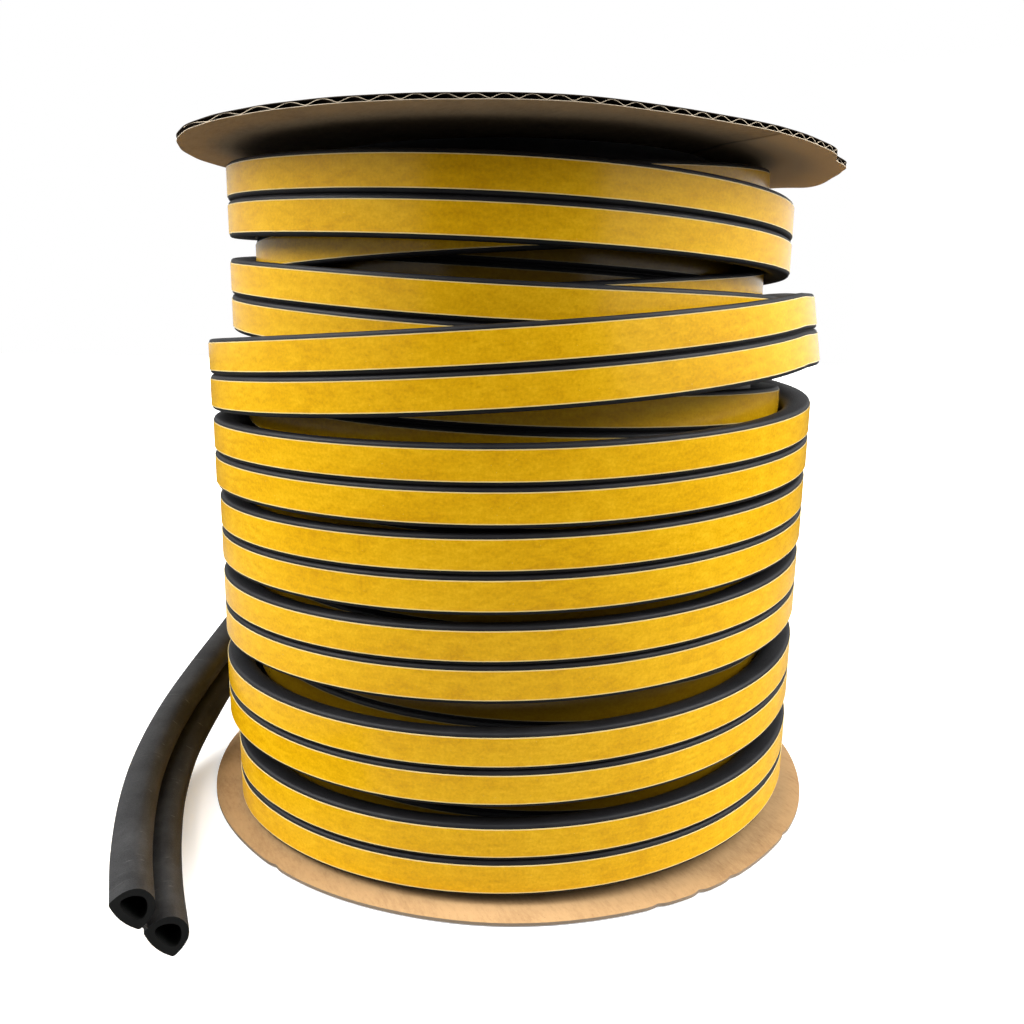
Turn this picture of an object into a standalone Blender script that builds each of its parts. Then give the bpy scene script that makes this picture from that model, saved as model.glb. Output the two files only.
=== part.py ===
"""Self-adhesive rubber seal: a twin D strip wound on an upright cardboard reel.

Metres, +Z up. The origin is on the reel's axis, on the surface that it stands on.
Angles run anticlockwise seen from above, from +X. The front of the reel is at -Y.
"""
from math import ceil, cos, floor, pi, radians, sin

import bmesh
import bpy
from mathutils import Vector

# Seal: two D strips side by side, joined by a thin web
STRIP_WIDTH = 0.0140
STRIP_HEIGHT = 0.0110
STRIP_WALL = 0.0025
FACE_WIDTH = 0.0118
CORNER_DEPTH = 0.0014
WEB_WIDTH = 0.0003
WEB_HEIGHT = 0.0008
D_POWER = 2.7
D_SEGMENTS = 6

# Release liner, one ribbon on the flat face of each strip
LINER_WIDTH = 0.0111
LINER_THICKNESS = 0.0004

# Reel
FLANGE_RADIUS = 0.1370
BOARD_THICKNESS = 0.0020
INNER_WIDTH = 0.2716
TUBE_BORE_RADIUS = 0.0380
TUBE_WALL = 0.0055
BORE_SIDES = 48
FLANGE_SIDES = 72
FLANGE_RINGS = 6

# The top flange sags at the front right, and its right edge is folded down along a crease
SAG_DIRECTION = radians(-35)
SAG_FROM = 0.0850
SAG_DROP = 0.0030
CREASE_DIRECTION = radians(14)
CREASE_DISTANCE = 0.0600
FOLD_DROP = 0.0035

# Winding: layers from the tube outwards. Gaps are between one turn and the next of a layer,
# at the left, the front and the right
LAYERS = 7
CLEARANCE = 0.0003
STEPS_PER_TURN = 28
LEFT_ANGLE = -147
FRONT_ANGLE = -90
RIGHT_ANGLE = -31

# Outer layer: climbs from the bottom
OUTER_START_ANGLE = -186
OUTER_RISES = (0, 0.0032, 0.0070)
OUTER_GAPS_LEFT = (0.0055, 0.0101, 0.0039, 0.0045, 0.0053)
OUTER_GAPS_FRONT = (0.0069, 0.0113, 0.0034, 0.0019, 0.0103)
OUTER_GAPS_RIGHT = (0.0088, 0.0112, 0.0043, 0.0020, 0.0142)
LOOSE_TURN_LIFT = 0.0021

# Third layer from outside: climbs to the top flange, where the strip steps out to the second layer
TOP_GAP = 0.0028
UNDER_TURNS = 1.34
UNDER_END_ANGLE = -353
UNDER_GAP = 0.0108

# Second layer: comes down from the top flange
STEP_OUT_ANGLE = -280
UPPER_START_ANGLE = -219
UPPER_TURNS = 2.58
UPPER_FALLS = (0.0049, 0.0086, 0.0156)
UPPER_GAPS_LEFT = (0.0088, 0.0090)
UPPER_GAPS_FRONT = (0.0116, 0.0067)
UPPER_GAPS_RIGHT = (0.0092, 0.0069)

# The second and third layers stand out at the left as far as the turns over them leave room:
# angle, how far
BULGE = (
    (-244, 0.0022), (-196, 0.0036), (-164, 0.0040), (-140, 0.0029), (-130, 0.0021),
    (-90, 0.0006), (-50, 0), (60, 0), (116, 0.0022),
)
STAND_OUT_FADE = 0.0030
INNER_TOP_CLEARANCE = 0.0030

# Loose end: angle, radius, height of the web, outward lean in degrees
LEAVE_ANGLE = 0
LOOSE_ROUTE = (
    (20, 0.1342, 0.2060, 0), (40, 0.1410, 0.2010, 0), (60, 0.1458, 0.1880, 0),
    (80, 0.1482, 0.1640, 0), (100, 0.1498, 0.1350, 0), (120, 0.1508, 0.1040, 0),
    (140, 0.1513, 0.0725, 0), (153, 0.1515, 0.0535, 0), (164.6, 0.1515, 0.0385, 3),
    (177.5, 0.1525, 0.0270, 11), (189.5, 0.1580, 0.0163, 20.5), (202.1, 0.1632, 0.0126, 29),
    (214.1, 0.1717, 0.0123, 34.5), (224.8, 0.1845, 0.0116, 38), (234.0, 0.2007, 0.0130, 39),
)
ROUTE_SAMPLES = 5
HOLLOW_DEPTH = 0.0250

# Mesh making
SWEEP_MERGE = 0.00001
TURN_MERGE = 0.0001
SHARP_ANGLE = radians(40)

# Derived sizes
TWIN_WIDTH = 2 * STRIP_WIDTH + WEB_WIDTH
STRIP_OFFSET = (STRIP_WIDTH + WEB_WIDTH) / 2
LAYER_STEP = STRIP_HEIGHT + LINER_THICKNESS + 2 * CLEARANCE
TUBE_RADIUS = TUBE_BORE_RADIUS + TUBE_WALL
OUTER_FACE = TUBE_RADIUS + CLEARANCE + LAYERS * LAYER_STEP
UPPER_FACE = OUTER_FACE - LAYER_STEP
INNER_FACE = UPPER_FACE - LAYER_STEP
DEEP_FACE = INNER_FACE - LAYER_STEP
TOP_UNDERSIDE = BOARD_THICKNESS + INNER_WIDTH
LOWEST_WEB = BOARD_THICKNESS + CLEARANCE + TWIN_WIDTH / 2
HIGHEST_WEB = TOP_UNDERSIDE - TOP_GAP - TWIN_WIDTH / 2
LINER_FACE_TO_STRIP = LINER_THICKNESS + CLEARANCE
STEP_ANGLE = 360 / STEPS_PER_TURN


def clear_scene():
    for ob in list(bpy.data.objects):
        bpy.data.objects.remove(ob, do_unlink=True)


def make_collection(name):
    collection = bpy.data.collections.new(name)
    bpy.context.scene.collection.children.link(collection)
    return collection


def make_material(name, colour, roughness):
    material = bpy.data.materials.new(name)
    material.use_nodes = True
    shader = material.node_tree.nodes["Principled BSDF"]
    shader.inputs["Base Color"].default_value = (*colour, 1)
    shader.inputs["Roughness"].default_value = roughness
    shader.inputs["Metallic"].default_value = 0
    return material


def smoothstep(t):
    t = min(max(t, 0), 1)
    return t * t * (3 - 2 * t)


def spline(knots, values, at):
    """Monotone cubic through values at rising knots, level beyond both ends."""
    if at <= knots[0]:
        return values[0]
    if at >= knots[-1]:
        return values[-1]
    slopes = [(values[i + 1] - values[i]) / (knots[i + 1] - knots[i]) for i in range(len(knots) - 1)]
    tangents = [slopes[0]]
    for before, after in zip(slopes, slopes[1:]):
        same = before * after > 0
        tangents.append(2 * before * after / (before + after) if same else 0)
    tangents.append(slopes[-1])
    i = max(k for k in range(len(knots) - 1) if knots[k] <= at)
    span = knots[i + 1] - knots[i]
    t = (at - knots[i]) / span
    return (
        (2 * t**3 - 3 * t**2 + 1) * values[i]
        + (t**3 - 2 * t**2 + t) * span * tangents[i]
        + (3 * t**2 - 2 * t**3) * values[i + 1]
        + (t**3 - t**2) * span * tangents[i + 1]
    )


def polar(angle, radius, height):
    return Vector((radius * cos(radians(angle)), radius * sin(radians(angle)), height))


def d_arch(width, height, base):
    """Round back of one D, from its upper foot to its lower foot, without the feet."""
    points = []
    for k in range(1, D_SEGMENTS):
        t = pi * k / D_SEGMENTS
        across = abs(cos(t)) ** (2 / D_POWER) * (1 if cos(t) > 0 else -1)
        points.append((base - height * sin(t) ** (2 / D_POWER), across * width / 2))
    return points


def twin_section(seated=False):
    """Outline of the twin strip: x is outwards from the adhesive faces, y across the strip.

    A seated outline also has the lines where the liners' edges lie, for a strip that twists.
    """
    arch = d_arch(STRIP_WIDTH, STRIP_HEIGHT - CORNER_DEPTH, -CORNER_DEPTH)
    upper = [(x, y + STRIP_OFFSET) for x, y in arch]
    lower = [(x, y - STRIP_OFFSET) for x, y in arch]
    back = -CORNER_DEPTH - WEB_HEIGHT
    web = [(back, WEB_WIDTH / 2), (back, -WEB_WIDTH / 2)]
    face = []
    for side in (-1, 1):
        edges = (FACE_WIDTH, LINER_WIDTH) if seated else (FACE_WIDTH,)
        rise = [(0, side * STRIP_OFFSET + edge / 2) for edge in reversed(edges)]
        fall = [(0, side * STRIP_OFFSET - edge / 2) for edge in edges]
        face += fall + rise
    groove = [(-CORNER_DEPTH, -WEB_WIDTH / 2), (-CORNER_DEPTH, WEB_WIDTH / 2)]
    middle = len(face) // 2
    shoulders = [(-CORNER_DEPTH, TWIN_WIDTH / 2)], [(-CORNER_DEPTH, -TWIN_WIDTH / 2)]
    return shoulders[0] + upper + web + lower + shoulders[1] + face[:middle] + groove + face[middle:]


def hollow_section(side):
    """Hollow of one strip: the D set in by the wall."""
    width = STRIP_WIDTH - 2 * STRIP_WALL
    height = STRIP_HEIGHT - 2 * STRIP_WALL
    arch = d_arch(width, height, -STRIP_WALL)
    foot = side * STRIP_OFFSET
    ends = [(-STRIP_WALL, width / 2)], [(-STRIP_WALL, -width / 2)]
    return [(x, y + foot) for x, y in ends[0] + arch + ends[1]]


def liner_section(side):
    inner = CLEARANCE
    outer = CLEARANCE + LINER_THICKNESS
    top = side * STRIP_OFFSET + LINER_WIDTH / 2
    bottom = top - LINER_WIDTH
    return [(inner, bottom), (outer, bottom), (outer, top), (inner, top)]


def poly_curve(name, points, leans, cyclic):
    curve = bpy.data.curves.new(name, "CURVE")
    curve.dimensions = "3D"
    run = curve.splines.new("POLY")
    run.points.add(len(points) - 1)
    for point, place, lean in zip(run.points, points, leans):
        point.co = (place[0], place[1], place[2], 1)
        point.tilt = lean
    run.use_cyclic_u = cyclic
    ob = bpy.data.objects.new(name, curve)
    bpy.context.scene.collection.objects.link(ob)
    return ob


def sweep(name, section, points, leans, collection):
    """Closed mesh of a section carried along a route, upright unless it leans."""
    flat = [(x, y, 0) for x, y in section]
    profile = poly_curve(name + "_section", flat, [0] * len(flat), True)
    route = poly_curve(name + "_route", points, [radians(lean) for lean in leans], False)
    route.data.bevel_mode = "OBJECT"
    route.data.bevel_object = profile
    route.data.use_fill_caps = True
    route.data.twist_mode = "Z_UP"
    graph = bpy.context.evaluated_depsgraph_get()
    mesh = bpy.data.meshes.new_from_object(route.evaluated_get(graph))
    body = bmesh.new()
    body.from_mesh(mesh)
    bmesh.ops.remove_doubles(body, verts=body.verts, dist=SWEEP_MERGE)
    bmesh.ops.recalc_face_normals(body, faces=body.faces)
    body.to_mesh(mesh)
    body.free()
    mesh.materials.clear()
    ob = bpy.data.objects.new(name, mesh)
    ob.matrix_world = route.matrix_world
    collection.objects.link(ob)
    bpy.data.objects.remove(route, do_unlink=True)
    bpy.data.objects.remove(profile, do_unlink=True)
    return ob


def turned(name, profile, sides, collection):
    """Solid turned about Z from a closed profile that runs down its outer side."""
    mesh = bpy.data.meshes.new(name)
    edges = [(i, (i + 1) % len(profile)) for i in range(len(profile))]
    mesh.from_pydata([(x, 0, z) for x, z in profile], edges, [])
    ob = bpy.data.objects.new(name, mesh)
    collection.objects.link(ob)
    screw = ob.modifiers.new("Turn", "SCREW")
    screw.steps = sides
    screw.render_steps = sides
    screw.use_merge_vertices = True
    screw.merge_threshold = TURN_MERGE
    screw.use_smooth_shade = False
    return ob


def finish(ob, material):
    ob.data.materials.append(material)
    if ob.data.polygons:
        ob.data.shade_smooth()
        ob.data.set_sharp_from_angle(angle=SHARP_ANGLE)
    return ob


def flange_profile(underside):
    top = underside + BOARD_THICKNESS
    span = FLANGE_RADIUS - TUBE_BORE_RADIUS
    radii = [TUBE_BORE_RADIUS + span * k / FLANGE_RINGS for k in range(FLANGE_RINGS + 1)]
    upper = [(radius, top) for radius in radii]
    lower = [(radius, underside) for radius in reversed(radii)]
    return upper + lower


def flange_drop(x, y):
    """How far the top flange hangs at a point: its sag, and its fold beyond the crease."""
    forward = x * cos(SAG_DIRECTION) + y * sin(SAG_DIRECTION)
    sag = SAG_DROP * smoothstep((forward - SAG_FROM) / (FLANGE_RADIUS - SAG_FROM))
    reach = x * cos(CREASE_DIRECTION) + y * sin(CREASE_DIRECTION)
    beyond = (reach - CREASE_DISTANCE) / (FLANGE_RADIUS - CREASE_DISTANCE)
    return sag + FOLD_DROP * max(beyond, 0)


def make_flange_bottom(collection, material):
    profile = [
        (FLANGE_RADIUS, BOARD_THICKNESS), (FLANGE_RADIUS, 0),
        (TUBE_BORE_RADIUS, 0), (TUBE_BORE_RADIUS, BOARD_THICKNESS),
    ]
    return finish(turned("flange_bottom", profile, FLANGE_SIDES, collection), material)


def make_flange_top(collection, material):
    blank = turned("flange_top_blank", flange_profile(TOP_UNDERSIDE), FLANGE_SIDES, collection)
    graph = bpy.context.evaluated_depsgraph_get()
    mesh = bpy.data.meshes.new_from_object(blank.evaluated_get(graph))
    for vertex in mesh.vertices:
        vertex.co.z -= flange_drop(vertex.co.x, vertex.co.y)
    ob = bpy.data.objects.new("flange_top", mesh)
    collection.objects.link(ob)
    bpy.data.objects.remove(blank, do_unlink=True)
    return finish(ob, material)


def make_core_tube(collection, material):
    low = BOARD_THICKNESS + CLEARANCE
    high = TOP_UNDERSIDE - CLEARANCE
    profile = [(TUBE_RADIUS, high), (TUBE_RADIUS, low), (TUBE_BORE_RADIUS, low), (TUBE_BORE_RADIUS, high)]
    return finish(turned("core_tube", profile, BORE_SIDES, collection), material)


def layer_knots(first, gaps, sense):
    """Running angles and web heights of a layer: its first turn, then one gap after another."""
    knots, heights, turn = [], [], list(first)
    for count in range(len(gaps[0]) + 1):
        if count:
            turn = [height + sense * (TWIN_WIDTH + gap[count - 1]) for height, gap in zip(turn, gaps)]
        knots += [place + 360 * count for place in (LEFT_ANGLE, FRONT_ANGLE, RIGHT_ANGLE)]
        heights += turn
    return knots, heights


def outer_height(angle):
    """Height of the outer layer's web at a running angle."""
    first = [LOWEST_WEB + rise for rise in OUTER_RISES]
    gaps = OUTER_GAPS_LEFT, OUTER_GAPS_FRONT, OUTER_GAPS_RIGHT
    return spline(*layer_knots(first, gaps, 1), angle)


def outer_lift(angle):
    """How far the outer layer stands out: its last turn lies loose."""
    loose_from = RIGHT_ANGLE + 360 * (len(OUTER_GAPS_LEFT) - 1)
    loose_to = LEFT_ANGLE + 360 * len(OUTER_GAPS_LEFT)
    return LOOSE_TURN_LIFT * smoothstep((angle - loose_from) / (loose_to - loose_from))


def upper_height(angle):
    """Height of the web in the layers below it: up to the top flange, then down again."""
    if angle < UNDER_END_ANGLE:
        return HIGHEST_WEB - (TWIN_WIDTH + UNDER_GAP) * (UNDER_END_ANGLE - angle) / 360
    gaps = UPPER_GAPS_LEFT, UPPER_GAPS_FRONT, UPPER_GAPS_RIGHT
    knots, heights = layer_knots([HIGHEST_WEB - fall for fall in UPPER_FALLS], gaps, -1)
    return spline([UPPER_START_ANGLE] + knots, [HIGHEST_WEB] + heights, angle)


def turns_over(angle, start, end):
    """Running angles of a layer from start to end that lie over a place."""
    return [angle + 360 * k for k in range(ceil((start - angle) / 360), floor((end - angle) / 360) + 1)]


def room(height, turns, height_over, lift_over):
    """How far a turn may stand out: as far as the turns over it do, and freely beside them."""
    most = max(out for _, out in BULGE)
    rooms = [most]
    for turn in turns:
        beside = (abs(height_over(turn) - height) - TWIN_WIDTH) / STAND_OUT_FADE
        rooms.append(lift_over(turn) + most * smoothstep(beside))
    return min(rooms)


def bulge(angle):
    """How far the second and third layers stand out where they have room, on each turn."""
    first = BULGE[0][0]
    place = (angle - first) % 360 + first
    return spline([knot for knot, _ in BULGE], [out for _, out in BULGE], place)


def upper_lift(angle):
    turns = turns_over(angle, OUTER_START_ANGLE, LEAVE_ANGLE + 360 * len(OUTER_GAPS_LEFT))
    return min(bulge(angle), room(upper_height(angle), turns, outer_height, outer_lift))


def under_lift(angle):
    turns = turns_over(angle, UPPER_START_ANGLE, UPPER_START_ANGLE + 360 * UPPER_TURNS)
    return min(bulge(angle), room(upper_height(angle), turns, upper_height, upper_lift))


def upper_face(angle):
    """Radius of the liner face in the third layer and, from where it steps out, in the second."""
    stepped = smoothstep((angle - STEP_OUT_ANGLE) / (UPPER_START_ANGLE - STEP_OUT_ANGLE))
    out = upper_lift(angle) if angle > UPPER_START_ANGLE else under_lift(angle)
    return INNER_FACE + LAYER_STEP * stepped + out


def running_angles(start, end):
    """Angles on the grid that all the layers share, so that their facets line up."""
    first = round(start / STEP_ANGLE)
    last = round(end / STEP_ANGLE)
    return [k * STEP_ANGLE for k in range(first, last + 1)]


def wound_route():
    angles = running_angles(OUTER_START_ANGLE, LEAVE_ANGLE + 360 * len(OUTER_GAPS_LEFT))
    face = OUTER_FACE - LINER_FACE_TO_STRIP
    return [polar(a, face + outer_lift(a), outer_height(a)) for a in angles]


def upper_route():
    start = UNDER_END_ANGLE - 360 * UNDER_TURNS
    angles = running_angles(start, UPPER_START_ANGLE + 360 * UPPER_TURNS)
    return [polar(a, upper_face(a) - LINER_FACE_TO_STRIP, upper_height(a)) for a in angles]


def catmull_rom(points, samples):
    """Smooth route through the chosen points, with even sampling between them."""
    full = [2 * points[0] - points[1]] + points + [2 * points[-1] - points[-2]]
    run = []
    for i in range(1, len(full) - 2):
        a, b, c, d = full[i - 1:i + 3]
        for k in range(samples):
            t = k / samples
            run.append(0.5 * (2 * b + (c - a) * t + (2 * a - 5 * b + 4 * c - d) * t**2
                              + (3 * b - a - 3 * c + d) * t**3))
    return run + [points[-1]]


def loose_route(wound):
    """Route of the loose end on from the wound strip, with its leans."""
    chosen = [Vector((*point, 0)) for point in wound[-2:]]
    for angle, radius, height, lean in LOOSE_ROUTE:
        chosen.append(Vector((*polar(angle, radius, height), lean)))
    run = catmull_rom(chosen, ROUTE_SAMPLES)[ROUTE_SAMPLES:]
    return [Vector(point[:3]) for point in run], [point[3] for point in run]


def split_route(wound, loose):
    """Part the strip in the middle of the first loose run, with the clearance between."""
    middle = (loose[0] + loose[1]) / 2
    along = (loose[1] - loose[0]).normalized() * CLEARANCE / 2
    return wound + [middle - along], [middle + along] + loose[1:]


def make_strip(name, route, leans, collection, material):
    return finish(sweep(name, twin_section(any(leans)), route, leans, collection), material)


def make_liners(stem, route, leans, collection, material):
    for label, side in (("upper", 1), ("lower", -1)):
        liner = sweep(f"{stem}_{label}", liner_section(side), route, leans, collection)
        finish(liner, material)


def cut_hollows(strip, route, leans, cutters):
    """Blind hollows in the cut end of the loose strip."""
    beyond = route[-1] + (route[-1] - route[-2]).normalized() * STRIP_WALL
    run, depth = [route[-1]], 0
    for before, after in zip(reversed(route[:-1]), reversed(route)):
        step = (after - before).length
        if depth + step > HOLLOW_DEPTH:
            run.append(after + (before - after) * (HOLLOW_DEPTH - depth) / step)
            break
        depth += step
        run.append(before)
    path = list(reversed(run)) + [beyond]
    lean = leans[-len(run):] + [leans[-1]]
    for label, side in (("upper", 1), ("lower", -1)):
        cutter = sweep(f"hollow_{label}", hollow_section(side), path, lean, cutters)
        cutter.hide_render = True
        cutter.display_type = "WIRE"
        cut = strip.modifiers.new(f"Hollow {label}", "BOOLEAN")
        cut.operation = "DIFFERENCE"
        cut.solver = "EXACT"
        cut.object = cutter


def make_inner_winding(upper, collection, material):
    """The hidden layers: full below the visible turns, a layer lower behind each of them."""
    low = BOARD_THICKNESS + CLEARANCE
    high = TOP_UNDERSIDE - INNER_TOP_CLEARANCE
    shelf = upper[-1].z - TWIN_WIDTH / 2 - UPPER_GAPS_LEFT[-1]
    ledge = upper[0].z - TWIN_WIDTH / 2 - CLEARANCE
    inside = TUBE_RADIUS + CLEARANCE
    wide = UPPER_FACE - CLEARANCE
    narrow = INNER_FACE - CLEARANCE
    deep = DEEP_FACE - CLEARANCE
    profile = [
        (deep, high), (deep, ledge), (narrow, ledge), (narrow, shelf), (wide, shelf), (wide, low),
        (inside, low), (inside, high),
    ]
    return finish(turned("inner_winding", profile, STEPS_PER_TURN, collection), material)


def main():
    clear_scene()
    parts = make_collection("rubber_seal_reel")
    cutters = make_collection("cutters")
    rubber = make_material("rubber", (0.018, 0.018, 0.020), 0.55)
    paper = make_material("liner", (0.78, 0.46, 0.03), 0.38)
    cardboard = make_material("cardboard", (0.55, 0.36, 0.19), 0.85)

    make_flange_bottom(parts, cardboard)
    make_flange_top(parts, cardboard)
    make_core_tube(parts, cardboard)

    wound = wound_route()
    loose, leans = loose_route(wound)
    wound, loose = split_route(wound, loose)
    upper = upper_route()
    level = [0] * max(len(wound), len(upper))

    make_strip("wound_turns", wound, level[:len(wound)], parts, rubber)
    make_strip("upper_turns", upper, level[:len(upper)], parts, rubber)
    make_liners("wound_liner", wound, level[:len(wound)], parts, paper)
    make_liners("upper_liner", upper, level[:len(upper)], parts, paper)
    make_inner_winding(upper, parts, rubber)

    loose_end = make_strip("loose_end", loose, leans, parts, rubber)
    make_liners("loose_liner", loose, leans, parts, paper)
    cut_hollows(loose_end, loose, leans, cutters)


main()
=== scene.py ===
"""Looks of the twin D rubber seal on its cardboard reel: strip, liners, boards, floor, lights, camera.

Metres, in the CAD frame. Angles run anticlockwise seen from above, in degrees, from +X.
"""
from math import atan2, cos, degrees, exp, hypot, pi, radians, sin, sqrt

import bpy
import numpy as np
from mathutils import Matrix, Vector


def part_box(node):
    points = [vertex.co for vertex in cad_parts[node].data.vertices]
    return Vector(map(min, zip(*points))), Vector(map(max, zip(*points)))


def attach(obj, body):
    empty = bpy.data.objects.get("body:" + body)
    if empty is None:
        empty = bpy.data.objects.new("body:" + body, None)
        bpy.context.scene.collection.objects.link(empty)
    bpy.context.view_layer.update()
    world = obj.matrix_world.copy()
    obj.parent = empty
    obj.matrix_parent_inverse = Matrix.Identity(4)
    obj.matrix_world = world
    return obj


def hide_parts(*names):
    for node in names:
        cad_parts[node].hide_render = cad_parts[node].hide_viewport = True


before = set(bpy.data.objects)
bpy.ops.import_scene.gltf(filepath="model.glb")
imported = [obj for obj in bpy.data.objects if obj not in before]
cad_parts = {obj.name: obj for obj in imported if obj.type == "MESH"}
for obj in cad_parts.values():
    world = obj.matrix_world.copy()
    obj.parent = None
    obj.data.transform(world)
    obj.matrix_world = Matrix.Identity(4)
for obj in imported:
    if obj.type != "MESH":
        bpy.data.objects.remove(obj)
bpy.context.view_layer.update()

# Seal strip and liner. A power says how square the back of a D or of its hollow is: 2 is an ellipse.
STRIP_WIDTH = 0.0140
STRIP_HEIGHT = 0.0110
STRIP_WALL = 0.0022
FACE_WIDTH = 0.0118
CORNER_DEPTH = 0.0014
WEB_WIDTH = 0.0003
WEB_HEIGHT = 0.0008
D_POWER = 2.7
LOOSE_POWER = 2.3
LOOSE_CROWN = 0.0010
LOOSE_SPREAD = 0.0012
HOLLOW_POWER = 1.7
HOLLOW_FACE = 0.55
HOLLOW_DEPTH = 0.25
ARCH_SEGMENTS = 14
CORNER_STEPS = 3
FACE_PARTS = (-0.33, -0.17, 0, 0.17, 0.33)
LINER_WIDTH = 0.0109
LINER_THICKNESS = 0.00018
LINER_LIFT = 0.00015
LINER_COLUMNS = 6
TWIN_WIDTH = 2 * STRIP_WIDTH + WEB_WIDTH
STRIP_OFFSET = (STRIP_WIDTH + WEB_WIDTH) / 2

# Reel, read from the frame
bottom_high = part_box("flange_bottom")[1]
top_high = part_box("flange_top")[1]
tube_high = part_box("core_tube")[1]
FLANGE_RADIUS = bottom_high.x
BOARD_THICKNESS = bottom_high.z
TOP_UNDERSIDE = top_high.z - BOARD_THICKNESS
TUBE_RADIUS = tube_high.x
TUBE_BORE_RADIUS = 0.0380

# Winding: gaps are between one turn and the next of a layer, at the left, the front and the right
LAYERS = 7
CLEARANCE = 0.0003
LAYER_STEP = STRIP_HEIGHT + 0.0010
LEFT_ANGLE = -147
FRONT_ANGLE = -90
RIGHT_ANGLE = -31
OUTER_FACE = TUBE_RADIUS + CLEARANCE + LAYERS * LAYER_STEP
UPPER_FACE = OUTER_FACE - LAYER_STEP
INNER_FACE = UPPER_FACE - LAYER_STEP
FACE_TO_STRIP = 0.0007
FINE_STEP = 2.0

# Outer layer: steps out at the bottom and climbs, and its last turn lies loose
OUTER_START_ANGLE = -208
OUTER_SEATED_ANGLE = -146
OUTER_RISES = (0, 0.0032, 0.0070)
OUTER_GAPS_LEFT = (0.0072, 0.0093, 0.0043, 0.0035, 0.0041)
OUTER_GAPS_FRONT = (0.0069, 0.0105, 0.0039, 0.0019, 0.0106)
OUTER_GAPS_RIGHT = (0.0088, 0.0099, 0.0043, 0.0020, 0.0163)
OUTER_SWELL = (
    (-31, 0), (200, 0.0016), (270, 0.0003), (329, 0), (560, 0.0015), (630, -0.0002), (689, 0),
    (920, 0.0015), (990, 0.0002), (1049, 0.0004), (1280, 0.0027), (1350, 0.0006), (1421, 0.0008),
    (1640, 0.0031), (1710, 0.0022), (1783, 0.0012),
)
OUTER_LEANS = ((1715, 0), (1785, -9), (1812, 0))

# Third layer climbs to the top flange, the second one comes down from there to the bottom
TOP_GAP = 0.0028
UNDER_TURNS = 1.34
UNDER_END_ANGLE = -353
UNDER_GAP = 0.0108
UNDER_LIFT = 0.0017
STEP_OUT_ANGLE = -280
UPPER_START_ANGLE = -219
UPPER_END_ANGLE = 2312
UPPER_FALLS = (0.0049, 0.0086, 0.0144)
UPPER_GAPS_LEFT = (0.0088, 0.0090, 0.0069, 0.0069, 0.0068, 0.0069)
UPPER_GAPS_FRONT = (0.0116, 0.0067, 0.0071, 0.0071, 0.0072, 0.0070)
UPPER_GAPS_RIGHT = (0.0092, 0.0069, 0.0080, 0.0080, 0.0080, 0.0070)
BULGE = (
    (-244, 0.0022), (-196, 0.0042), (-164, 0.0050), (-140, 0.0034), (-130, 0.0021),
    (-90, 0.0006), (-50, 0), (-17, 0.0008), (60, 0), (116, 0.0022),
)

# Fourth layer, seen deep in the top gap, and the hidden core of the winding
DEEP_FACE = 0.0955
DEEP_WEB = 0.2277
DEEP_ANGLE = -84
DEEP_PITCH = 0.0310
DEEP_START_ANGLE = -368
DEEP_END_ANGLE = 250
CORE_LEDGE = 0.1880
CORE_GROOVE = 0.0012
CORE_TOP_GAP = 0.0025
CORE_RIB = 0.15
CORE_SEAM = 0.0001
CORE_SIDES = 120

# Loose end: its route by angle, radius, height of the web and outward lean in degrees
LEAVE_ANGLE = 1800
LEAVE_STEP = 360 / 28
LOOSE_SAMPLES = 12
LOOSE_ROUTE = (
    (20, 0.1342, 0.2060, 0), (40, 0.1410, 0.2010, 0), (60, 0.1458, 0.1880, 0),
    (80, 0.1482, 0.1640, 0), (100, 0.1498, 0.1350, 0), (120, 0.1508, 0.1040, 0),
    (140, 0.1513, 0.0725, 0), (153, 0.1515, 0.0535, 0), (164.6, 0.1515, 0.0385, 3),
    (177.5, 0.1525, 0.0270, 11), (189.5, 0.1580, 0.0163, 20.5), (202.1, 0.1632, 0.0126, 29),
    (214.1, 0.1717, 0.0124, 34.5), (224.8, 0.1845, 0.0121, 38), (234.0, 0.2007, 0.0140, 39),
)

# Corrugated boards: two facings and a wavy sheet between them, cut round by hand
FACING = 0.00020
FLUTE_PITCH = 0.0076
FLUTE_SHEET = 0.00022
FLUTE_DEPTH = 0.0130
FLUTE_ANGLE = radians(25)
FLUTE_POWER = 0.65
FLUTE_COLUMNS = 14
FLUTE_PLACES = (0, 0.4, 1)
FLUTE_INSET = 0.00015
RIM_SIDES = 360
RING_PLACES = (0, 0.25, 0.45, 0.60, 0.70, 0.78, 0.85, 0.90, 0.94, 0.97, 1)

# Rims: ripples are height and number, torn bits angle, spread and reach, dents angle and depth
TOP_SHIFT = -0.0023
TOP_TRIM = 0.0008
TOP_RIPPLES = ((0.00025, 9), (0.00015, 31))
TORN_BITS = ((-24, 4.0, -0.0022), (-16, 3.0, 0.0010))
BOTTOM_TRIM = 0.0003
BOTTOM_RIPPLE = (0.00015, 11)
RIM_PINCH = 0.0004
RIM_DENTS = (
    (-131, 0.0008), (-66, 0.0009), (-58, 0.0012), (-51, 0.0008), (-33, 0.0007), (42, 0.0010), (118, 0.0009),
)
DENT_SPREAD = 0.9

# The top board sags at the front right and is folded down along a crease
SAG = 0.0030
SAG_DIRECTION = radians(-35)
SAG_FROM = 0.0850
FOLD = 0.0035
CREASE_DIRECTION = radians(14)
CREASE_DISTANCE = 0.0600
FLAP = 0.0024
FLAP_ANGLE = 9
FLAP_SPREAD = 10
FLAP_FROM = 0.100
FLAP_RUN = 0.035

# Camera
CAMERA_DISTANCE = 0.4429
CAMERA_HEIGHT = 0.2168
CAMERA_PITCH = 0.2155
CAMERA_ROLL = 0.0142
FOCAL_PIXELS = 980
FRAME_PIXELS = 1024
SENSOR = 36

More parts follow.
